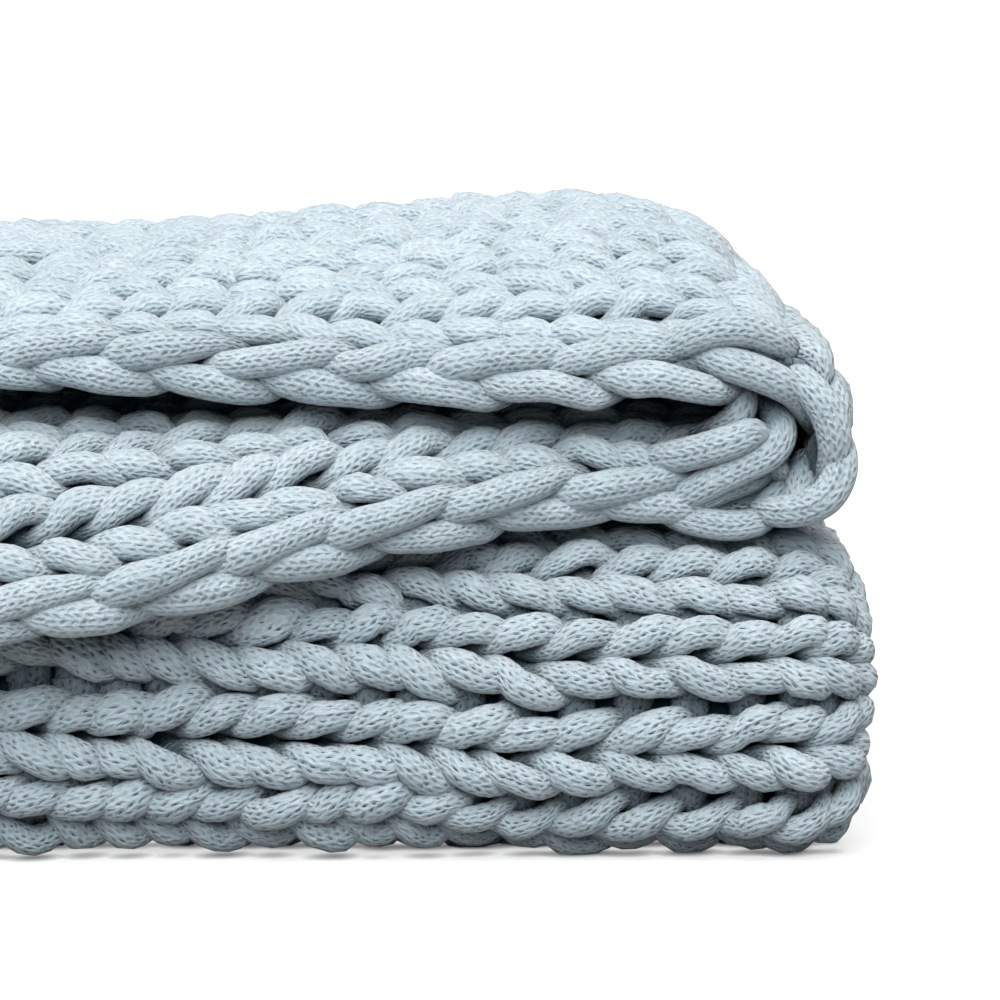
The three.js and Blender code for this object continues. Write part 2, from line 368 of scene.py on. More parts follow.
# The strands of an edge chain stitch. Side is in millimetres across the edge, way in chain stitches, and
# height is out from the edge. The last strand fills the chain's back.
CHAIN_OVER = np.array([
    (-1.5, -0.16, -4.5, 2.8, 2.8, 0.0),
    (0.2, -0.05, -1.0, 3.5, 3.2, 0.5),
    (1.6, 0.10, 1.8, 4.1, 3.6, 1.0),
    (2.8, 0.30, 3.0, 4.4, 3.8, 1.0),
    (3.7, 0.55, 2.9, 4.3, 3.7, 1.0),
    (4.4, 0.80, 1.8, 3.9, 3.4, 1.0),
    (4.6, 1.00, -0.4, 3.4, 3.1, 1.0),
    (3.8, 1.15, -3.0, 3.0, 2.9, 0.5),
    (2.0, 1.26, -5.0, 2.8, 2.8, 0.0),
])
CHAIN_UNDER = np.array([
    (0.8, 0.22, -4.8, 2.8, 2.8, 0.0),
    (-0.4, 0.33, -2.0, 3.3, 3.1, 0.5),
    (-1.9, 0.48, 0.6, 3.9, 3.4, 1.0),
    (-2.8, 0.68, 2.0, 4.3, 3.6, 1.0),
    (-3.3, 0.92, 2.4, 4.3, 3.6, 1.0),
    (-4.1, 1.14, 1.6, 4.0, 3.4, 1.0),
    (-4.9, 1.32, -0.4, 3.6, 3.2, 1.0),
    (-4.8, 1.46, -2.8, 3.2, 3.0, 0.5),
    (-3.5, 1.58, -5.0, 2.8, 2.8, 0.0),
])
CHAIN_BACK = np.array([
    (0.8, -0.15, -9.5, 3.6, 3.0, 0.0),
    (1.6, 0.20, -9.0, 4.2, 3.2, 0.3),
    (1.6, 0.60, -9.0, 4.2, 3.2, 0.3),
    (1.2, 1.00, -9.2, 4.0, 3.1, 0.3),
    (0.8, 1.15, -9.5, 3.6, 3.0, 0.0),
])

# How freely a leg may vary in side, way and height: in plain knitting, on the top and in an edge chain.
KNIT_VARY = (0.045, 0.07, 0.6)
TOP_VARY = (0.1, 0.11, 0.5)
CHAIN_VARY = (0.35, 0.035, 0.45)

# How much of that each bend of a leg may vary by, and how much of what its side may vary by it may slant.
# Then how lumpy a leg is, and how much its girth differs from one leg to the next.
BEND_SHARE = 0.45
SLANT_SHARE = 2
LUMP = 0.05
LEG_GIRTH = 0.06

# Samples along a strand and sides round it: fine where the photo shows them well, and plain elsewhere.
FINE = (30, 12)
PLAIN = (14, 6)
CHAIN_FINE = (20, 14)
CHAIN_PLAIN = (10, 6)
CHAIN_END = (16, 8)

# How many samples a stretch of a strand gets for its share, and how many more where it lies on top.
STRETCH_SAMPLES = 0.55
TOP_SAMPLES = 0.9


def sample_places(control, samples):
    """Places along the control points, closer together where the yarn lies on top."""
    steps = STRETCH_SAMPLES + TOP_SAMPLES * (control[:-1, FREEDOM] + control[1:, FREEDOM]) / 2
    reached = np.concatenate([[0], np.cumsum(steps)])
    return np.interp(np.linspace(0, reached[-1], samples), reached, np.arange(len(control)))


def yarn_paths(control, samples, count, rng, vary, legs):
    """Smooth paths through control points, count times over, each leg a little different."""
    paths = np.repeat(control[None], count, 0)
    freedom = control[None, :, FREEDOM]
    for column, size in enumerate(vary):
        paths[..., column] += rng.normal(0, BEND_SHARE * size, paths.shape[:2]) * freedom
    paths[..., GIRTH] *= 1 + rng.normal(0, LUMP, (count, len(control), 2)) * freedom[..., None]
    for leg in np.array_split(np.arange(len(control)), legs):
        for column, size in enumerate(vary):
            paths[:, leg, column] += rng.normal(0, size, (count, 1)) * freedom[:, leg]
        slant = rng.normal(0, SLANT_SHARE * vary[SIDE], (count, 1)) * (control[None, leg, WAY] - 0.5)
        paths[:, leg, SIDE] += slant * freedom[:, leg]
        paths[:, leg, GIRTH] *= 1 + rng.normal(0, LEG_GIRTH, (count, 1, 1))
    return np.einsum("nc,scd->snd", curve_weights(len(control), sample_places(control, samples)), paths)


def knit(
    yarn, ribs, rows, face, way, detail, rng, lay,
    vary=KNIT_VARY, loop=KNIT_LOOP, least=-CREST, girth=1.0,
):
    """Adds a knit loop for each rib and row, on a face of the cloth and open one way along it. lay says
    where the stitches lie off their even places, least how low their yarn may lie, and girth how much of
    its thickness is left where the cloth is stretched."""
    samples, sides = detail
    path = yarn_paths(loop, samples, len(ribs), rng, vary, legs=2)
    even_rib = ribs[:, None] + 0.5 + path[..., SIDE] / 2
    even_along = (rows[:, None] + 0.5 + way * (path[..., WAY] - 0.5)) * ROW_PITCH
    rib, along = lay(even_rib, even_along)
    height = np.maximum(path[..., HEIGHT], least)
    centre, _, _, out = cloth_place(rib, kept_on_leaves(along), face * height)
    yarn.append((centre, face * out, girth * path[..., GIRTH], height, rng.random(len(ribs)), sides))


# Rows to an edge chain's stitch. How far the upper leaf's chain rolls, as an angle, and what share of its
# droop the lower leaf's chain rolls by.
CHAIN_ROWS = 2
UPPER_ROLL = 0.3
ROLL_SHARE = 0.9

# What is added to a chain's height out from its edge for its painted shade, and the least that this comes
# to.
CHAIN_SHADE_LIFT = 4
CHAIN_SHADE_LEAST = 1.5


def edge_roll(along):
    """How far the chain of a top leaf's side edge has rolled, as an angle."""
    inset, _, leaf = doubled_at(along)
    droop = smooth_curve(REACH_INSET, REACH, inset) / DRAPE_RADIUS
    return (1 - leaf) * UPPER_ROLL + leaf * ROLL_SHARE * droop


def side_chain(yarn, edge_rib, rows, face, way, detail, rng):
    """Adds the slipped-stitch chain of a side edge, which stands across the cloth's thickness and rolls as
    the edge droops. face is the face of the cloth that its over strand lies on."""
    rows = np.array(rows, float)
    samples, sides = detail
    for control in (CHAIN_OVER, CHAIN_UNDER, CHAIN_BACK):
        path = yarn_paths(control, samples, len(rows), rng, CHAIN_VARY, legs=1)
        along = (rows[:, None] + CHAIN_ROWS * (0.5 + way * (path[..., WAY] - 0.5))) * ROW_PITCH
        along = kept_on_leaves(along)
        rib = np.full(along.shape, float(edge_rib))
        edge, across, _, out = cloth_place(rib, along, np.zeros(along.shape))
        outward = across if edge_rib > TOP else -across
        roll = edge_roll(along)[..., None] * (edge_rib > TOP)
        facing = np.cos(roll) * outward + np.sin(roll) * face * out
        over = np.cos(roll) * face * out - np.sin(roll) * outward
        centre = edge + path[..., SIDE, None] * over + path[..., HEIGHT, None] * facing
        # The chain's height for its painted shade low in the cloth.
        height = np.maximum(path[..., HEIGHT] + CHAIN_SHADE_LIFT, CHAIN_SHADE_LEAST)
        yarn.append((centre, facing, path[..., GIRTH], height, rng.random(len(rows)), sides))


def end_chain(yarn, end_along, outward_way, detail, rng):
    """Adds the bound-off chain across the ribs at a leaf's left edge."""
    ribs = np.arange(RIBS, dtype=float)
    samples, sides = detail
    for control in (CHAIN_OVER, CHAIN_UNDER):
        path = yarn_paths(control, samples, len(ribs), rng, CHAIN_VARY, legs=1)
        rib = kept_between(ribs[:, None] + path[..., WAY], 0, RIBS, DRAW_IN_RIBS)
        along = np.full(rib.shape, float(end_along))
        centre, _, forward, _ = cloth_place(rib, along, path[..., SIDE])
        outward = outward_way * forward
        centre = centre + path[..., HEIGHT, None] * outward
        # The chain's height for its painted shade low in the cloth.
        height = np.maximum(path[..., HEIGHT] + CHAIN_SHADE_LIFT, CHAIN_SHADE_LEAST)
        yarn.append((centre, outward, path[..., GIRTH], height, rng.random(len(ribs)), sides))


def tube_rings(centre, out, widths, sides):
    """Rings of points round centre lines, flattest across the side that faces out."""
    along = unit(np.gradient(centre, axis=1))
    side = unit(np.cross(along, out))
    up = np.cross(side, along)
    angle = 2 * np.pi * np.arange(sides) / sides
    across = side[:, :, None] * np.cos(angle)[:, None] * widths[:, :, None, :1]
    return centre[:, :, None] + across + up[:, :, None] * np.sin(angle)[:, None] * widths[:, :, None, 1:]


# Each strand's cell of the bake map: its width for its height, the margin round its walls, and the radius
# of its caps, which lie in a corner of it.
CELL_ASPECT = 2
CELL_MARGIN = 0.03
CELL_SPAN = 1 - 2 * CELL_MARGIN
CAP_RADIUS = 0.01

# How far apart the yarn's own pattern may start on two strands, in millimetres.
LAY_SPREAD = 500

# Corners of a face of a tube's walls or of the ground.
QUAD = 4


def tube_parts(count, length, sides):
    """The walls and the end caps of tubes: for each corner its tube, ring and spoke, then how many corners
    a face has, and where the corners lie in the tube's cell of the bake map."""
    last = length - 1
    tube, ring, spoke = np.meshgrid(np.arange(count), np.arange(last), np.arange(sides), indexing="ij")
    tube = np.repeat(tube.ravel(), QUAD)
    ring = (ring[..., None] + [0, 1, 1, 0]).ravel()
    spoke = (spoke[..., None] + [0, 0, 1, 1]).ravel()
    cell = CELL_MARGIN + CELL_SPAN * np.stack([ring / last, spoke / sides], -1)
    parts = [(tube, ring, spoke, QUAD, cell)]
    for at_end, order in ((0, np.arange(sides)), (last, np.arange(sides)[::-1])):
        tube = np.repeat(np.arange(count), sides)
        spoke = np.tile(order, count)
        angle = 2 * np.pi * spoke / sides
        cell = CAP_RADIUS + CAP_RADIUS * np.stack([np.cos(angle), np.sin(angle)], -1)
        parts.append((tube, np.full(len(tube), at_end), spoke, sides, cell))
    return parts


def yarn_mesh(name, yarn, rng):
    """One mesh of closed tubes, with the yarn's own lay as a map, each strand's tone and its height."""
    points, corners, sizes, lay, atlas, tone, depth = [], [], [], [], [], [], []
    total = sum(len(tubes[0]) for tubes in yarn)
    columns = math.ceil(math.sqrt(total / CELL_ASPECT))
    lines = math.ceil(total / columns)
    start = 0
    placed = 0
    for centre, out, widths, height, tones, sides in yarn:
        rings = tube_rings(centre, out, widths, sides)
        count, length = rings.shape[:2]
        rings[..., 2] = np.maximum(rings[..., 2], 0)
        steps = np.linalg.norm(np.diff(centre, axis=1), axis=-1)
        run = np.concatenate([np.zeros((count, 1)), np.cumsum(steps, 1)], 1)
        run = run + rng.uniform(0, LAY_SPREAD, (count, 1))
        for tube, ring, spoke, size, cell in tube_parts(count, length, sides):
            corners.append(start + (tube * length + ring) * sides + spoke % sides)
            sizes.append(np.full(len(tube) // size, size))
            lay.append(np.stack([run[tube, ring], spoke / sides], -1))
            at = placed + tube
            atlas.append((np.stack([at % columns, at // columns], -1) + cell) / (columns, lines))
        points.append(rings.reshape(-1, 3))
        tone.append(np.repeat(tones, length * sides))
        turned = np.sin(2 * np.pi * np.arange(sides) / sides)
        # Heights of the yarn's surface, which the yarn's material turns into painted shade low in the
        # cloth.
        depth.append((height[..., None] + turned * widths[..., 1:]).reshape(-1))
        start += count * length * sides
        placed += count
    piece = mesh_piece(name, np.concatenate(points), np.concatenate(corners), np.concatenate(sizes))
    mesh = piece.data
    for label, values in (("stitch_tone", tone), ("stitch_height", depth)):
        mesh.attributes.new(label, "FLOAT", "POINT").data.foreach_set("value", np.concatenate(values))
    for layer, places in (("yarn_lay", lay), ("OFBake", atlas)):
        flat = np.concatenate(places).astype(np.float32).ravel()
        mesh.uv_layers.new(name=layer).uv.foreach_set("vector", flat)
    return piece


def mesh_piece(name, points, corners, sizes):
    """A mesh object from points in millimetres and the corners of its faces, smooth but for end caps."""
    mesh = bpy.data.meshes.new(name)
    mesh.vertices.add(len(points))
    mesh.vertices.foreach_set("co", (points * MM).astype(np.float32).ravel())
    mesh.loops.add(len(corners))
    mesh.loops.foreach_set("vertex_index", corners.astype(np.int32))
    mesh.polygons.add(len(sizes))
    starts = np.concatenate([[0], np.cumsum(sizes)[:-1]])
    mesh.polygons.foreach_set("loop_start", starts.astype(np.int32))
    mesh.polygons.foreach_set("use_smooth", np.asarray(sizes) == QUAD)
    mesh.update(calc_edges=True)
    return new_object(name, mesh)


def new_object(name, data):
    """An object in the scene, for a mesh, a camera or a light."""
    made = bpy.data.objects.new(name, data)
    bpy.context.scene.collection.objects.link(made)
    return made


# The cloth under the stitches

# How deep the ground lies under the stitches, how thick it is, and over which stretch at the right it
# passes from under the outer face's stitches to under the inner face's.
GROUND_DEPTH = 3.6
GROUND_THICKNESS = 3.0
GROUND_PASSES = (0.7 * END_FOLD, 1.6 * END_FOLD)

# Ribs over which the top's own lay sets in.
TOP_BLEND = 3

# The ground's points to a rib, along a leaf and round the end fold.
GROUND_PER_RIB = 2
GROUND_PER_LEAF = 44
GROUND_TURN = 14

# By what share the ground draws back in the mouth at the right, and over what length on either side of it.
MOUTH_DEPTH = 0.06
MOUTH_REACH = 20


def ground_height(rib, along):
    """The ground lies under the stitches that show: low on most cloth, and high on the top's lower leaf,
    which shows its inner face."""
    on_lower = ease(along, *GROUND_PASSES) * ease(rib, TOP, TOP + TOP_BLEND)
    return GROUND_DEPTH * (2 * on_lower - 1)


def ground_rib(rib, along):
    """The ground draws back from the side edge in the mouth at the right, where strands cross it."""
    in_mouth = ease(along, -MOUTH_REACH, 0) * (1 - ease(along, END_FOLD, END_FOLD + MOUTH_REACH))
    return rib - MOUTH_DEPTH * in_mouth * np.maximum(rib - TOP, 0)


def ground_mesh(name):
    """The cloth as one thin closed sheet on all its folds, which is painted dark as the shade between the
    stitches.
    """
    ribs = np.linspace(0, RIBS, RIBS * GROUND_PER_RIB + 1)
    upper = np.linspace(-LEAF_LENGTH, 0, GROUND_PER_LEAF)[:-1]
    turn = np.linspace(0, END_FOLD, GROUND_TURN)[:-1]
    lower = np.linspace(END_FOLD, LEAVES_END, GROUND_PER_LEAF)
    along = np.concatenate([upper, turn, lower])
    rib_grid, along_grid = np.meshgrid(ribs, along, indexing="ij")
    rib_grid = ground_rib(rib_grid, along_grid)
    middle = ground_height(rib_grid, along_grid)
    outer = cloth_place(rib_grid, along_grid, middle + GROUND_THICKNESS / 2)[0]
    inner = cloth_place(rib_grid, along_grid, middle - GROUND_THICKNESS / 2)[0]
    rows, columns = rib_grid.shape
    index = np.arange(rows * columns).reshape(rows, columns)
    under = rows * columns
    corners = [index[:-1, :-1], index[1:, :-1], index[1:, 1:], index[:-1, 1:]]
    outer_faces = np.stack(corners, -1).reshape(-1, QUAD)
    inner_faces = outer_faces[:, [0, 3, 2, 1]] + under
    rim = np.concatenate([index[:-1, 0], index[-1, :-1], index[:0:-1, -1], index[0, :0:-1]])
    after = np.roll(rim, -1)
    rim_faces = np.stack([after, rim, rim + under, after + under], -1)
    faces = np.concatenate([outer_faces, inner_faces, rim_faces])
    points = np.concatenate([outer.reshape(-1, 3), inner.reshape(-1, 3)])
    return mesh_piece(name, points, faces.reshape(-1), np.full(len(faces), QUAD))


# Materials

class Shade:
    """A socket of a material's nodes. Operators on it add Math nodes."""

    def __init__(self, tree, socket=None):
        self.tree = tree
        self.socket = socket

    def node(self, kind, settings=None, sockets=None, output=0):
        """Adds a node: its settings first, then the values or links of its sockets. Returns one output."""
        made = self.tree.nodes.new("ShaderNode" + kind)
        for name, value in (settings or {}).items():
            setattr(made, name, value)
        for name, value in (sockets or {}).items():
            if isinstance(value, Shade):
                self.tree.links.new(value.socket, made.inputs[name])
            else:
                made.inputs[name].default_value = value
        return Shade(self.tree, made.outputs[output] if made.outputs else None)

    def math(self, operation, first, second=0.0):
        """Adds a Math node."""
        return self.node("Math", {"operation": operation}, {0: first, 1: second})

    def __add__(self, other):
        return self.math("ADD", self, other)

    def __radd__(self, other):
        return self.math("ADD", other, self)

    def __sub__(self, other):
        return self.math("SUBTRACT", self, other)

    def __rsub__(self, other):
        return self.math("SUBTRACT", other, self)

    def __mul__(self, other):
        return self.math("MULTIPLY", self, other)

    def __rmul__(self, other):
        return self.math("MULTIPLY", other, self)

    def __mod__(self, other):
        return self.math("FLOORED_MODULO", self, other)

    def floor(self):
        return self.math("FLOOR", self)

    def at_least(self, least):
        return self.math("MAXIMUM", self, least)

    def at_most(self, most):
        return self.math("MINIMUM", self, most)

    def as_share(self):
        """This value kept between 0 and 1."""
        return self.at_least(0.0).at_most(1.0)

    def mix(self, first, second):
        """Two colours mixed by this value. Their sockets go by number, because their names recur."""
        sockets = {"Factor": self, 6: first, 7: second}
        return self.node("Mix", {"data_type": "RGBA"}, sockets, 2)


# Colours of the yarn: its fibres where they are palest and deepest, and the painted shade of its small
# holes, its creases and its low parts.
YARN_PALE = (0.478, 0.558, 0.602, 1)
YARN_DEEP = (0.27, 0.345, 0.385, 1)
YARN_PAINTED_SHADE = (0.01, 0.042, 0.058, 1)

# Fine stitches of the tube yarn: their length in millimetres, their columns round it, and how much further
# on they start in every second column and in pale patches.
TUBE_STITCH = 2.25
TUBE_COLUMNS = 19
COLUMN_STAGGER = 0.5
PATCH_SHIFT = 0.9

# How the fibres lean to one side and the other in turn, how the slits lean with them, how far a slit lies
# off its stitch's middle, and how much this changes from one strand to the next.
FIBRE_LEAN = 0.6
SLIT_LEAN = 0.4
SLIT_WANDER = 0.4
STRAND_CHANGE = 90

# Noise drawn out along the yarn: its scale along it, round it and by its lean, how much it changes from
# one strand to the next, and its detail.
FIBRES = (0.75, 40, 1.0, 90, 4.0)
HAIRS = (1.5, 105, 1.9, 50, 2.0)

# The slit in each stitch, which is sunk in the relief and painted with shade: how far it reaches, how soon
# it ends along and across, and how its depth varies.
SLIT_REACH = 1.2
SLIT_ALONG = 18
SLIT_ACROSS = 48
SLIT_VARY = 1.7
SLIT_SHUT = 0.28

# How soon the dip round a slit ends along and across. The dip is sunk in the relief and painted a little
# darker as shade.
DIP_ALONG = 4
DIP_ACROSS = 4.5

# The crease along the outward side of some strands: where that side lies round the yarn, how soon the
# crease ends across, how far it wanders, how its depth varies from strand to strand, and how dark its
# painted shade is.
OUTWARD = 0.25
CREASE_ACROSS = 900
CREASE_WANDER = 0.05
CREASE_CHANGE = 37
CREASE_VARY = 3
CREASE_SHUT = 1.8
CREASE_SHADE = 0.22

# Painted shade low in the cloth: how dark the yarn is painted at the cloth's middle, and how much less
# with each millimetre of height.
LOW_SHADE_START = 1.15
LOW_SHADE_FALL = 0.2

# How pale the yarn is by itself, and how much each part of its pattern adds to that and to its relief. The
# dip's negative share of paleness is painted shade.
PALE_START = -0.8
PALE_BY = {"tone": 0.2, "patches": 0.5, "fibres": 1.0, "hairs": 1.2, "dip": -0.15}
RELIEF_BY = {"fibres": 0.5, "hairs": 0.5, "dip": -0.7, "slit": -0.6, "crease": -0.5}
RELIEF_DEPTH = 0.0009


def fresh_nodes(owner):
    """Clears the nodes of a material or a world, and gives what adds new ones."""
    owner.use_nodes = True
    owner.node_tree.nodes.clear()
    return Shade(owner.node_tree)


def start_material(name):
    """A new material, and what adds nodes to it."""
    material = bpy.data.materials.new(name)
    return material, fresh_nodes(material)


def finish_material(shade, sockets):
    """Adds the surface that the sockets describe."""
    shader = shade.node("BsdfPrincipled", {}, sockets)
    shade.node("OutputMaterial", {}, {"Surface": shader})


def separated(shade, kind, value, count):
    """The first parts of a colour or a vector."""
    return [shade.node(kind, {}, {0: value}, part) for part in range(count)]


def point_value(shade, name):
    """A value that the mesh gives at each of its points."""
    return shade.node("Attribute", {"attribute_name": name}, {}, "Fac")


def drawn_out_noise(shade, run, turn, lean, tone, scales):
    """Noise that is drawn out along the yarn."""
    by_run, by_turn, by_lean, by_tone, detail = scales
    across = by_turn * turn + by_lean * lean
    place = shade.node("CombineXYZ", {}, {0: by_run * run, 1: across, 2: by_tone * tone})
    return shade.node("TexNoise", {}, {"Vector": place, "Scale": 1.0, "Detail": detail})


def weighed(parts, shares):
    """The sum of parts, each by its share."""
    return sum(share * parts[name] for name, share in shares.items())


def knitted_yarn(name, slit_shade_share, low_shade_share, relief_share):
    """Soft tube yarn: fine stitches run along it in staggered columns, with a dark slit in each. Its
    slits, creases and low parts are darkened with painted shade.
    """
    material, shade = start_material(name)
    lay = shade.node("UVMap", {"uv_map": "yarn_lay"})
    run, turn = separated(shade, "SeparateXYZ", lay, 2)
    tone = point_value(shade, "stitch_tone")
    height = point_value(shade, "stitch_height")
    place = shade.node("NewGeometry", {}, {}, "Position")
    patches = shade.node("TexNoise", {}, {"Vector": place, "Scale": 110.0, "Detail": 3.0})

    column = turn * TUBE_COLUMNS
    odd = column.floor() % 2.0
    lean = (2 * FIBRE_LEAN * odd - FIBRE_LEAN) * run
    fibres = drawn_out_noise(shade, run, turn, lean, tone, FIBRES)
    hairs = drawn_out_noise(shade, run, turn, lean, tone, HAIRS)

    stitch = run * (1 / TUBE_STITCH) + COLUMN_STAGGER * odd + PATCH_SHIFT * patches
    cell = shade.node("CombineXYZ", {}, {0: column.floor(), 1: stitch.floor(), 2: STRAND_CHANGE * tone})
    chance = shade.node("TexWhiteNoise", {}, {"Vector": cell}, "Color")
    shift, sway, depth = separated(shade, "SeparateColor", chance, 3)
    along = stitch % 1.0 - 0.5 + SLIT_WANDER * (shift - 0.5)
    slit_lean = (2 * SLIT_LEAN * odd - SLIT_LEAN) * along
    across = column % 1.0 - 0.5 + SLIT_WANDER * (sway - 0.5) + slit_lean
    reach = along * along
    side = across * across
    # The slit's darkness is painted shade in the yarn's small holes.
    slit = (SLIT_REACH - SLIT_ALONG * reach - SLIT_ACROSS * side).as_share()
    slit = slit * (SLIT_VARY * depth - SLIT_SHUT).as_share()
    dip = (1 - DIP_ALONG * reach - DIP_ACROSS * side).at_least(0.0)

    creased = shade.node("TexWhiteNoise", {"noise_dimensions": "1D"}, {"W": CREASE_CHANGE * tone})
    crease_side = turn - OUTWARD + CREASE_WANDER * (patches - 0.5)
    # The crease is sunk in the relief and painted with shade.
    crease = (1 - CREASE_ACROSS * crease_side * crease_side).at_least(0.0)
    crease = crease * (CREASE_VARY * creased - CREASE_SHUT).as_share()

    parts = {"tone": tone, "patches": patches, "fibres": fibres, "hairs": hairs}
    parts.update(dip=dip, slit=slit, crease=crease)
    base = (PALE_START + weighed(parts, PALE_BY)).as_share().mix(YARN_DEEP, YARN_PALE)
    low_shade = (LOW_SHADE_START - LOW_SHADE_FALL * height).as_share()
    # Painted shade: the slits, the creases and the yarn low in the cloth darken towards the shade colour.
    painted_shade = slit_shade_share * slit + CREASE_SHADE * crease + low_shade_share * low_shade
    relief = {"Strength": relief_share, "Distance": RELIEF_DEPTH, "Height": weighed(parts, RELIEF_BY)}
    finish_material(shade, {
        "Base Color": painted_shade.at_most(1.0).mix(base, YARN_PAINTED_SHADE),
        "Roughness": 0.95,
        "Specular IOR Level": 0.15,
        "Sheen Weight": 0.3,
        "Sheen Roughness": 0.5,
        "Normal": shade.node("Bump", {}, relief),
    })
    return material


# Painted shade between the stitches: dark colours on the ground that stand in for the shade there, not for
# the yarn's own colour.
GROUND_SHADE_DARK = (0.006, 0.026, 0.036, 1)
GROUND_SHADE_PALE = (0.015, 0.05, 0.066, 1)


def painted_shade_ground():
    """Painted shade between the stitches: a dark sheet coloured as the shade there, in place of the shaded
    yarn.
    """
    material, shade = start_material("painted_shade_ground")
    place = shade.node("NewGeometry", {}, {}, "Position")
    noise = shade.node("TexNoise", {}, {"Vector": place, "Scale": 160.0, "Detail": 4.0})
    finish_material(shade, {
        "Base Color": noise.mix(GROUND_SHADE_DARK, GROUND_SHADE_PALE),
        "Roughness": 0.95,
        "Specular IOR Level": 0.1,
        "Normal": shade.node("Bump", {}, {"Strength": 0.5, "Distance": 0.001, "Height": noise}),
    })
    return material


# The floor: its colour for the light that it gives the throw, its colour and its glow as the camera sees
# it, both of these close to the throw, where they make a painted contact shadow, and how close that is.
FLOOR_LIGHT = (0.3, 0.3, 0.3, 1)
FLOOR_SEEN = (0.3, 0.3, 0.3, 1)
FLOOR_GLOW = (0.68, 0.68, 0.68, 1)
FLOOR_CONTACT_SHADOW = (0.1, 0.095, 0.095, 1)
CONTACT_REACH = 0.0035
NO_GLOW = (0, 0, 0, 1)


def studio_floor():
    """A white floor that glows as the camera sees it, so that the throw's shadow on it is thin. To the
    throw it is plain and pale. Close to the throw it is painted with a dark contact shadow."""
    material, shade = start_material("studio_floor")
    seen = shade.node("LightPath", {}, {}, "Is Camera Ray")
    # Painted contact shadow: the floor darkens where the throw lies close over it.
    bare = shade.node("AmbientOcclusion", {"samples": 8}, {"Distance": CONTACT_REACH}, "AO")
    finish_material(shade, {
        "Base Color": seen.mix(FLOOR_LIGHT, bare.mix(FLOOR_CONTACT_SHADOW, FLOOR_SEEN)),
        "Emission Color": seen.mix(NO_GLOW, bare.mix(FLOOR_CONTACT_SHADOW, FLOOR_GLOW)),
        "Emission Strength": 1.0,
        "Roughness": 0.9,
        "Specular IOR Level": 0.1,
    })
    return material


# Stitches of each part of the throw

# The faces of the cloth, and the ways along it: on from its upper leaf's left end, and back.
OUTER = 1
INNER = -1
ONWARD = 1
BACKWARD = -1

# Rows at the right that the photo shows well.
NEAR_ROWS = 18

# The share of a rib that is left free for an edge chain, and how low yarn may lie in the mouth.
EDGE_ROOM = 0.1
MOUTH_LEAST = 1.5

# What is left of the yarn's thickness where the front fold stretches it most.
FRONT_GIRTH = 0.92

# How far the front fold's legs of yarn lie off their even places, in ribs: at the right, and further left.
# The one passes into the other over a stretch past the end fold.
SHIFT_RIB = [12, 18.5, 19.26, 19.74, 20.26, 20.74, 21.26, 21.74, 22.5, 24, 26]
SHIFT_RIGHT = [0, -0.01, -0.02, -0.09, -0.08, -0.12, -0.01, 0.01, 0, 0, 0]
SHIFT_LEFT = [0, 0.17, 0.33, 0.24, 0.12, 0.1, 0.2, 0.14, 0.08, 0.03, 0]
SHIFT_TURNS = (66, 113)

# How far the rows of the bottom and of the front fold are drawn to the right, by the place along the
# cloth, and over which ribs this ends.
DRAWN_ALONG = [0, END_FOLD, 74, 100, 127, 154, 181, 221, 261, 400, END_FOLD + LEAF_LENGTH]
DRAWN = [0, 6.1, 8, 7.6, 7.2, 9.5, 13.8, 16.7, 24.5, 28, 0]
DRAWN_RIBS = (23, 26)

# The rows of the top run a little unevenly, and less so within a few ribs or rows of its edges.
WANDER_ROWS = [(6.0, 23.0, 0.24), (11.0, 14.0, 0.18)]
ROWS_PHASE = 0.9
EVEN_EDGE = 4


def lay_even(rib, along):
    """Stitches lie at their even places."""
    return rib, along


def lay_top(rib, along):
    """Ribs on the top draw in a little to leave room for the edge chain, and its rows wander."""
    even_end = EVEN_EDGE * ROW_PITCH - LEAF_LENGTH
    inner = ease(rib, TOP, TOP + TOP_BLEND) * (1 - ease(rib, RIBS - EVEN_EDGE, RIBS))
    inner = inner * ease(along, -LEAF_LENGTH, even_end) * (1 - ease(along, 0, END_FOLD))
    uneven = ROW_PITCH * wander(WANDER_ROWS, rib, along, ROWS_PHASE) * inner
    return TOP + (rib - TOP) * (RIBS - TOP - EDGE_ROOM) / (RIBS - TOP), along + uneven


def lay_front(rib, along):
    """The front fold's ribs sink towards the right, and its rows lie closer together on the left."""
    further_left = ease(along - END_FOLD, *SHIFT_TURNS)
    right = smooth_curve(SHIFT_RIB, SHIFT_RIGHT, rib)
    left = smooth_curve(SHIFT_RIB, SHIFT_LEFT, rib)
    drawn = smooth_curve(DRAWN_ALONG, DRAWN, along) * (1 - ease(rib, *DRAWN_RIBS))
    return rib + right + (left - right) * further_left, along - drawn


def lay_bottom(rib, along):
    """Ribs on the bottom leave room for the edge chain too, and go on from the front fold's."""
    return lay_front(FRONT_FOLD - (FRONT_FOLD - rib) * (FRONT_FOLD - EDGE_ROOM) / FRONT_FOLD, along)


def grid(ribs, rows):
    """Every rib with every row."""
    rib, row = np.meshgrid(np.array(ribs, float), np.array(rows, float), indexing="ij")
    return rib.ravel(), row.ravel()


# Ribs where the front fold's stitches, those inside, the back fold's and the top's nearer ones begin. Then
# how many ribs of the lower leaf's inner face show, and how many rows past the end fold the mouth goes.
FRONT_START = 18
INSIDE_START = 25
BACK_START = 42
NEAR_TOP_START = 58
INNER_SHOWN = 5
MOUTH_PAST = 2

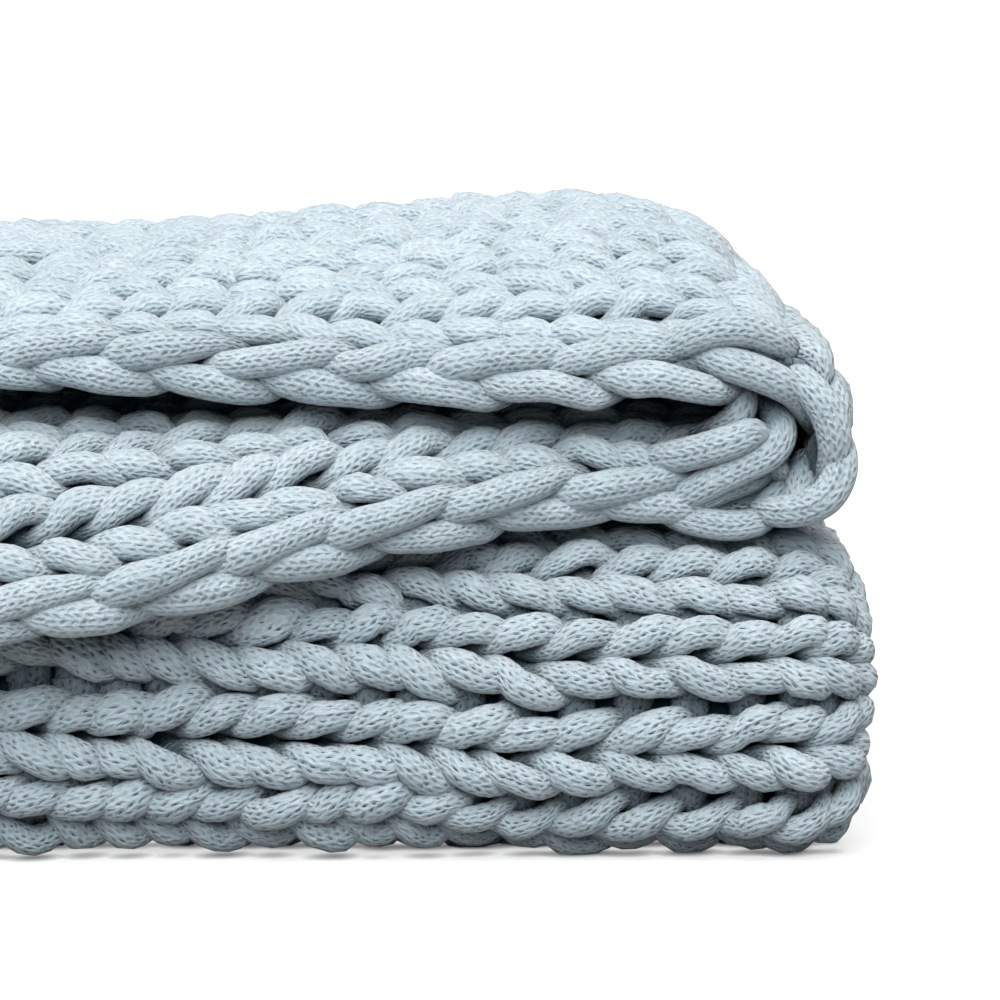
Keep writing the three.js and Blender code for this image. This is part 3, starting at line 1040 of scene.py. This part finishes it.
UPPER_ROWS = range(-LEAF_ROWS, 0)
UPPER_NEAR = range(-NEAR_ROWS, 0)
UPPER_FAR = range(-LEAF_ROWS, -NEAR_ROWS)
TURN_ROWS = range(0, END_FOLD_ROWS)
LOWER_ROWS = range(END_FOLD_ROWS, END_FOLD_ROWS + LEAF_ROWS)
LOWER_NEAR = range(END_FOLD_ROWS, END_FOLD_ROWS + NEAR_ROWS)
LOWER_FAR = range(END_FOLD_ROWS + NEAR_ROWS, END_FOLD_ROWS + LEAF_ROWS)
MOUTH_ROWS = range(0, END_FOLD_ROWS + MOUTH_PAST)
UNDER_RIBS = range(0, FRONT_START)
FRONT_FOLD_RIBS = range(FRONT_START, INSIDE_START)
MIDDLE_RIBS = range(INSIDE_START, BACK_START)
BACK_FOLD_RIBS = range(BACK_START, TOP)
BACK_TOP_RIBS = range(TOP, NEAR_TOP_START)
FRONT_TOP_RIBS = range(NEAR_TOP_START, RIBS)
INNER_RIBS = range(RIBS - INNER_SHOWN, RIBS)


def top_knit(yarn, ribs, rows, detail, rng):
    """Adds loops on the upper leaf, where the cloth is relaxed."""
    knit(yarn, *grid(ribs, rows), OUTER, ONWARD, detail, rng, lay_top, TOP_VARY, RELAXED_LOOP)


def upper_leaf(yarn, rng):
    top_knit(yarn, FRONT_TOP_RIBS, UPPER_NEAR, FINE, rng)
    top_knit(yarn, FRONT_TOP_RIBS, UPPER_FAR, PLAIN, rng)


def upper_leaf_back(yarn, rng):
    top_knit(yarn, BACK_TOP_RIBS, UPPER_ROWS, PLAIN, rng)


def lower_leaf(yarn, rng):
    knit(yarn, *grid(INNER_RIBS, LOWER_NEAR), INNER, BACKWARD, FINE, rng, lay_top, loop=RELAXED_LOOP)
    knit(yarn, *grid(INNER_RIBS, LOWER_FAR), INNER, BACKWARD, PLAIN, rng, lay_top, loop=RELAXED_LOOP)


def front_knit(yarn, rows, detail, rng):
    """Adds loops on the front fold, whose yarn is drawn thinner towards the right."""
    ribs, rows = grid(FRONT_FOLD_RIBS, rows)
    further_left = ease(rows * ROW_PITCH - END_FOLD, *SHIFT_TURNS)
    girth = (FRONT_GIRTH + (1 - FRONT_GIRTH) * further_left)[:, None, None]
    knit(yarn, ribs, rows, OUTER, BACKWARD, detail, rng, lay_front, loop=FRONT_LOOP, girth=girth)


def front_fold(yarn, rng):
    front_knit(yarn, LOWER_NEAR, FINE, rng)
    front_knit(yarn, LOWER_FAR, PLAIN, rng)


def underside(yarn, rng):
    knit(yarn, *grid(UNDER_RIBS, LOWER_ROWS), OUTER, BACKWARD, PLAIN, rng, lay_bottom)


def back_fold(yarn, rng):
    knit(yarn, *grid(BACK_FOLD_RIBS, UPPER_ROWS), OUTER, ONWARD, PLAIN, rng, lay_even)


def end_fold(yarn, rng):
    knit(yarn, *grid(UNDER_RIBS, TURN_ROWS), OUTER, BACKWARD, PLAIN, rng, lay_bottom)
    front_knit(yarn, TURN_ROWS, FINE, rng)
    knit(yarn, *grid(MIDDLE_RIBS, TURN_ROWS), OUTER, BACKWARD, PLAIN, rng, lay_even)
    knit(yarn, *grid(BACK_FOLD_RIBS, TURN_ROWS), OUTER, ONWARD, PLAIN, rng, lay_even)
    knit(yarn, *grid(BACK_TOP_RIBS, TURN_ROWS), OUTER, ONWARD, PLAIN, rng, lay_top)
    knit(yarn, *grid(FRONT_TOP_RIBS, MOUTH_ROWS), OUTER, ONWARD, FINE, rng, lay_top, least=MOUTH_LEAST)


# Strands of the chain as it turns down round the right-hand end, and loose ones that cross the mouth. A
# point gives its distance in from the top's right-hand end and behind the edge, its height, and half the
# width and half the thickness of the yarn.
MOUTH_STRANDS = [
    [
        (48, 5, 121, 3.0, 2.9), (45, 0, 122.5, 3.7, 3.3), (40, -2.5, 125, 4.2, 3.6),
        (34, -3, 126.6, 4.4, 3.8), (27, -2.5, 126.4, 4.3, 3.7), (21, -1, 124.2, 3.9, 3.4),
        (17, 3, 121.5, 3.2, 3.0),
    ],
    [
        (41, 6, 121, 3.0, 2.9), (38.4, 1, 120.6, 3.6, 3.3), (32.4, -3, 118.6, 4.2, 3.7),
        (26, -3.5, 116.6, 4.4, 3.8), (19.6, -2.5, 113.8, 4.2, 3.6), (15.3, 1, 110.5, 3.7, 3.3),
        (12.4, 4, 106.6, 3.5, 3.2), (10, 8, 103, 3.0, 2.9),
    ],
    [
        (16.5, 5, 116.5, 3.2, 3.0), (14.5, 0, 114.6, 3.8, 3.4), (11, -2.5, 110.8, 4.2, 3.7),
        (7.8, -3, 105.6, 4.4, 3.8), (6.4, -2.5, 99.6, 4.2, 3.6), (6.8, 0, 94.5, 3.7, 3.3),
        (8.5, 5, 91, 3.0, 2.9),
    ],
    [
        (5.5, 4, 101, 3.2, 3.0), (4.6, 0, 97, 3.8, 3.4), (5.2, -2, 91.8, 4.2, 3.6),
        (8.2, -3, 86.8, 4.4, 3.7), (13, -2.5, 84, 4.3, 3.6), (19, -1, 82.8, 3.9, 3.4),
        (24.5, 3.5, 83, 3.2, 3.0),
    ],
    [
        (12.5, 9, 95, 3.2, 3.0), (13.2, 5, 92, 3.8, 3.4), (14.2, 2.5, 88.3, 4.0, 3.5),
        (14.6, 1.5, 84.5, 4.0, 3.5), (14.2, 3, 81, 3.6, 3.2),
    ],
    [
        (27, 9, 115, 3.0, 2.9), (28, 5, 111.6, 3.6, 3.3), (28.3, 3, 108.2, 3.9, 3.4),
        (30, 2.5, 104.8, 3.9, 3.4), (34.2, 4, 102, 3.6, 3.2), (39, 8, 100, 3.0, 2.9),
    ],
    [
        (24, 12, 111, 3.2, 3.0), (21.5, 8, 108.6, 3.6, 3.3), (19.6, 4.5, 104.8, 4.0, 3.5),
        (19.2, 2, 100.9, 4.2, 3.7), (21.8, 0, 97.1, 4.3, 3.7), (27.5, -1.5, 94.3, 4.3, 3.7),
        (35, -1.5, 90.6, 4.2, 3.6), (41.8, 0, 86.6, 3.8, 3.3), (46, 4, 84, 3.2, 3.0),
    ],
    [
        (52, 4, 94.8, 3.2, 3.0), (48.2, 0.5, 95.6, 3.7, 3.3), (43, -2.5, 96.5, 4.1, 3.6),
        (36.7, -4, 98.2, 4.2, 3.6), (30.3, -4, 100.2, 4.2, 3.6), (26, -2, 101.6, 3.9, 3.4),
        (24.3, 2.5, 99.5, 3.3, 3.0),
    ],
    [
        (21, 9, 95, 3.2, 3.0), (22.8, 5, 92.6, 3.5, 3.2), (26.4, 3, 90.4, 3.6, 3.2),
        (32.4, 2, 88.2, 3.6, 3.2), (38.4, 2, 85.6, 3.6, 3.2), (45, 5, 84, 3.2, 3.0),
    ],
    [
        (17.6, 9, 89.6, 3.0, 2.9), (18.4, 5, 87.6, 3.4, 3.1), (20.6, 3, 85.4, 3.5, 3.2),
        (23.4, 4, 83.2, 3.3, 3.1), (25.6, 9, 81.6, 3.0, 2.9),
    ],
    [
        (48, 5, 83.6, 3.2, 3.0), (44, 2, 81.8, 3.6, 3.2), (38.8, 0.5, 80.4, 3.8, 3.3),
        (31.6, 0.5, 79.4, 3.8, 3.3), (25, 2, 80, 3.6, 3.2), (21, 6, 82, 3.2, 3.0),
    ],
]

# Samples along such a strand, and sides round it.
MOUTH_FINE = (26, 14)

# How far in from the cloth's left ends their chains lie.
END_CHAIN_IN = 2


def mouth_strands(yarn, rng):
    """Adds the strands that cross the mouth at the right, between the upper and the lower edge chain."""
    samples, sides = MOUTH_FINE
    edge = FRONT_AXIS - EDGE_REACH
    for strand in MOUTH_STRANDS:
        control = np.array(strand, float)
        weights = curve_weights(len(control), np.linspace(0, len(control) - 1, samples))
        inset, behind, height, half_width, half_thick = (weights @ control).T
        centre = np.stack([TOP_RIGHT - inset, edge + behind, height], -1)[None]
        outward = np.zeros_like(centre)
        outward[..., 1] = -1
        widths = np.stack([half_width, half_thick], -1)[None]
        # Strands further behind the edge get more painted shade.
        yarn.append((centre, outward, widths, CHAIN_SHADE_LIFT - behind[None], rng.random(1), sides))


def edge_chains(yarn, rng):
    fold = END_FOLD_ROWS
    near = NEAR_ROWS + 1
    far = LEAF_ROWS - 1
    upper_near = range(-NEAR_ROWS, -CHAIN_ROWS, CHAIN_ROWS)
    upper_far = range(-far, -NEAR_ROWS, CHAIN_ROWS)
    lower_near = range(fold + CHAIN_ROWS, fold + near, CHAIN_ROWS)
    lower_far = range(fold + near, fold + far, CHAIN_ROWS)
    bottom = range(-far, fold + far, CHAIN_ROWS)
    side_chain(yarn, RIBS, upper_near, OUTER, ONWARD, CHAIN_FINE, rng)
    side_chain(yarn, RIBS, upper_far, OUTER, ONWARD, CHAIN_PLAIN, rng)
    side_chain(yarn, RIBS, lower_near, INNER, BACKWARD, CHAIN_FINE, rng)
    side_chain(yarn, RIBS, lower_far, INNER, BACKWARD, CHAIN_PLAIN, rng)
    side_chain(yarn, 0, bottom, OUTER, ONWARD, CHAIN_PLAIN, rng)
    mouth_strands(yarn, rng)
    end_chain(yarn, END_CHAIN_IN - LEAF_LENGTH, BACKWARD, CHAIN_END, rng)
    end_chain(yarn, LEAVES_END - END_CHAIN_IN, ONWARD, CHAIN_END, rng)


# How dark the painted shade in the yarn's slits is, how dark the painted shade on it is low in the cloth,
# and how strong its relief is: most where the front fold stretches it.
FINISHES = {
    "stretched_yarn": (1.1, 1.0, 0.95),
    "edge_yarn": (0.5, 0.97, 0.9),
    "relaxed_yarn": (0.22, 0.34, 0.7),
}

# The pieces of stitches: what adds their yarn, and its finish.
STITCHES = {
    "upper_leaf_stitches": (upper_leaf, "relaxed_yarn"),
    "upper_leaf_back_stitches": (upper_leaf_back, "relaxed_yarn"),
    "lower_leaf_stitches": (lower_leaf, "edge_yarn"),
    "front_fold_stitches": (front_fold, "stretched_yarn"),
    "underside_stitches": (underside, "stretched_yarn"),
    "back_fold_stitches": (back_fold, "stretched_yarn"),
    "end_fold_stitches": (end_fold, "stretched_yarn"),
    "edge_chains": (edge_chains, "edge_yarn"),
}


def make_throw():
    """The throw's stitches, and the ground under them that stands for the cloth, painted dark as the shade
    between the stitches.
    """
    finishes = {name: knitted_yarn(name, *shares) for name, shares in FINISHES.items()}
    pieces = []
    for k, (name, (stitch, finish)) in enumerate(STITCHES.items()):
        rng = np.random.default_rng(SEED + k)
        yarn = []
        stitch(yarn, rng)
        piece = yarn_mesh(name, yarn, rng)
        piece.data.materials.append(finishes[finish])
        pieces.append(piece)
    ground = ground_mesh("throw_ground")
    ground.data.materials.append(painted_shade_ground())
    for piece in [ground, *pieces]:
        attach(piece, "root")
    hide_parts("throw")


# Studio

# The camera: its distance in front of the front fold's axis, its place, its tilt up from straight down,
# its lens and sensor in millimetres, and where its view begins.
CAMERA_BEFORE_FOLD = 0.9324
CAMERA_PLACE = (0.2898, FRONT_AXIS * MM - CAMERA_BEFORE_FOLD, 0.164)
CAMERA_TILT = math.radians(85.09)
CAMERA_LENS = 137.4
SENSOR_WIDTH = 36
CLIP_START = 0.05

# How bright the white room looks to the camera, and the fill light that the throw gets from it.
ROOM_STRENGTH = 1.05
ROOM_COLOUR = (1, 1, 1, 1)
FILL_STRENGTH = 0.07
FILL_COLOUR = (0.3, 0.8, 1.0, 1)

# The soft lights: the way that their light goes, its strength, its spread in degrees, and its colour.
SOFTBOXES = {
    "top_softbox": ((0.0, 0.2, -1.0), 3.5, 65, (1.0, 0.9, 0.86)),
    "front_softbox": ((0.1, 1.0, -0.78), 3.7, 50, (0.93, 0.97, 1.0)),
}

# The floor's size, and how far it lies below the throw, so that the two don't share a face.
FLOOR_SIZE = 60
FLOOR_DROP = 0.00015


def make_camera():
    """The photo's view."""
    data = bpy.data.cameras.new("camera")
    data.lens = CAMERA_LENS
    data.sensor_width = SENSOR_WIDTH
    data.clip_start = CLIP_START
    camera = new_object("camera", data)
    camera.location = CAMERA_PLACE
    camera.rotation_euler = Euler((CAMERA_TILT, 0, 0))
    bpy.context.scene.camera = camera


def make_sun(name, direction, strength, spread, colour):
    """A large soft light far away, which lights floor and throw evenly."""
    data = bpy.data.lights.new(name, "SUN")
    data.energy = strength
    data.color = colour
    data.angle = math.radians(spread)
    light = new_object(name, data)
    light.rotation_euler = Vector(direction).to_track_quat("-Z", "Y").to_euler()


def make_world():
    """A white room: plain white where the camera sees it, and a dimmer fill light on the throw."""
    world = bpy.data.worlds.new("studio")
    shade = fresh_nodes(world)
    seen = shade.node("LightPath", {}, {}, "Is Camera Ray")
    colour = seen.mix(FILL_COLOUR, ROOM_COLOUR)
    strength = FILL_STRENGTH + (ROOM_STRENGTH - FILL_STRENGTH) * seen
    light = shade.node("Background", {}, {"Color": colour, "Strength": strength})
    shade.node("OutputWorld", {}, {"Surface": light})
    bpy.context.scene.world = world


def make_studio():
    """A floor in a white room, under two soft lights."""
    bpy.ops.mesh.primitive_plane_add(size=FLOOR_SIZE, location=(0, 0, -FLOOR_DROP))
    floor = bpy.context.active_object
    floor.name = "floor"
    floor.data.materials.append(studio_floor())
    make_world()
    for name, light in SOFTBOXES.items():
        make_sun(name, *light)
    bpy.context.scene.view_settings.view_transform = "Standard"


make_camera()
make_throw()
make_studio()
bpy.context.view_layer.update()
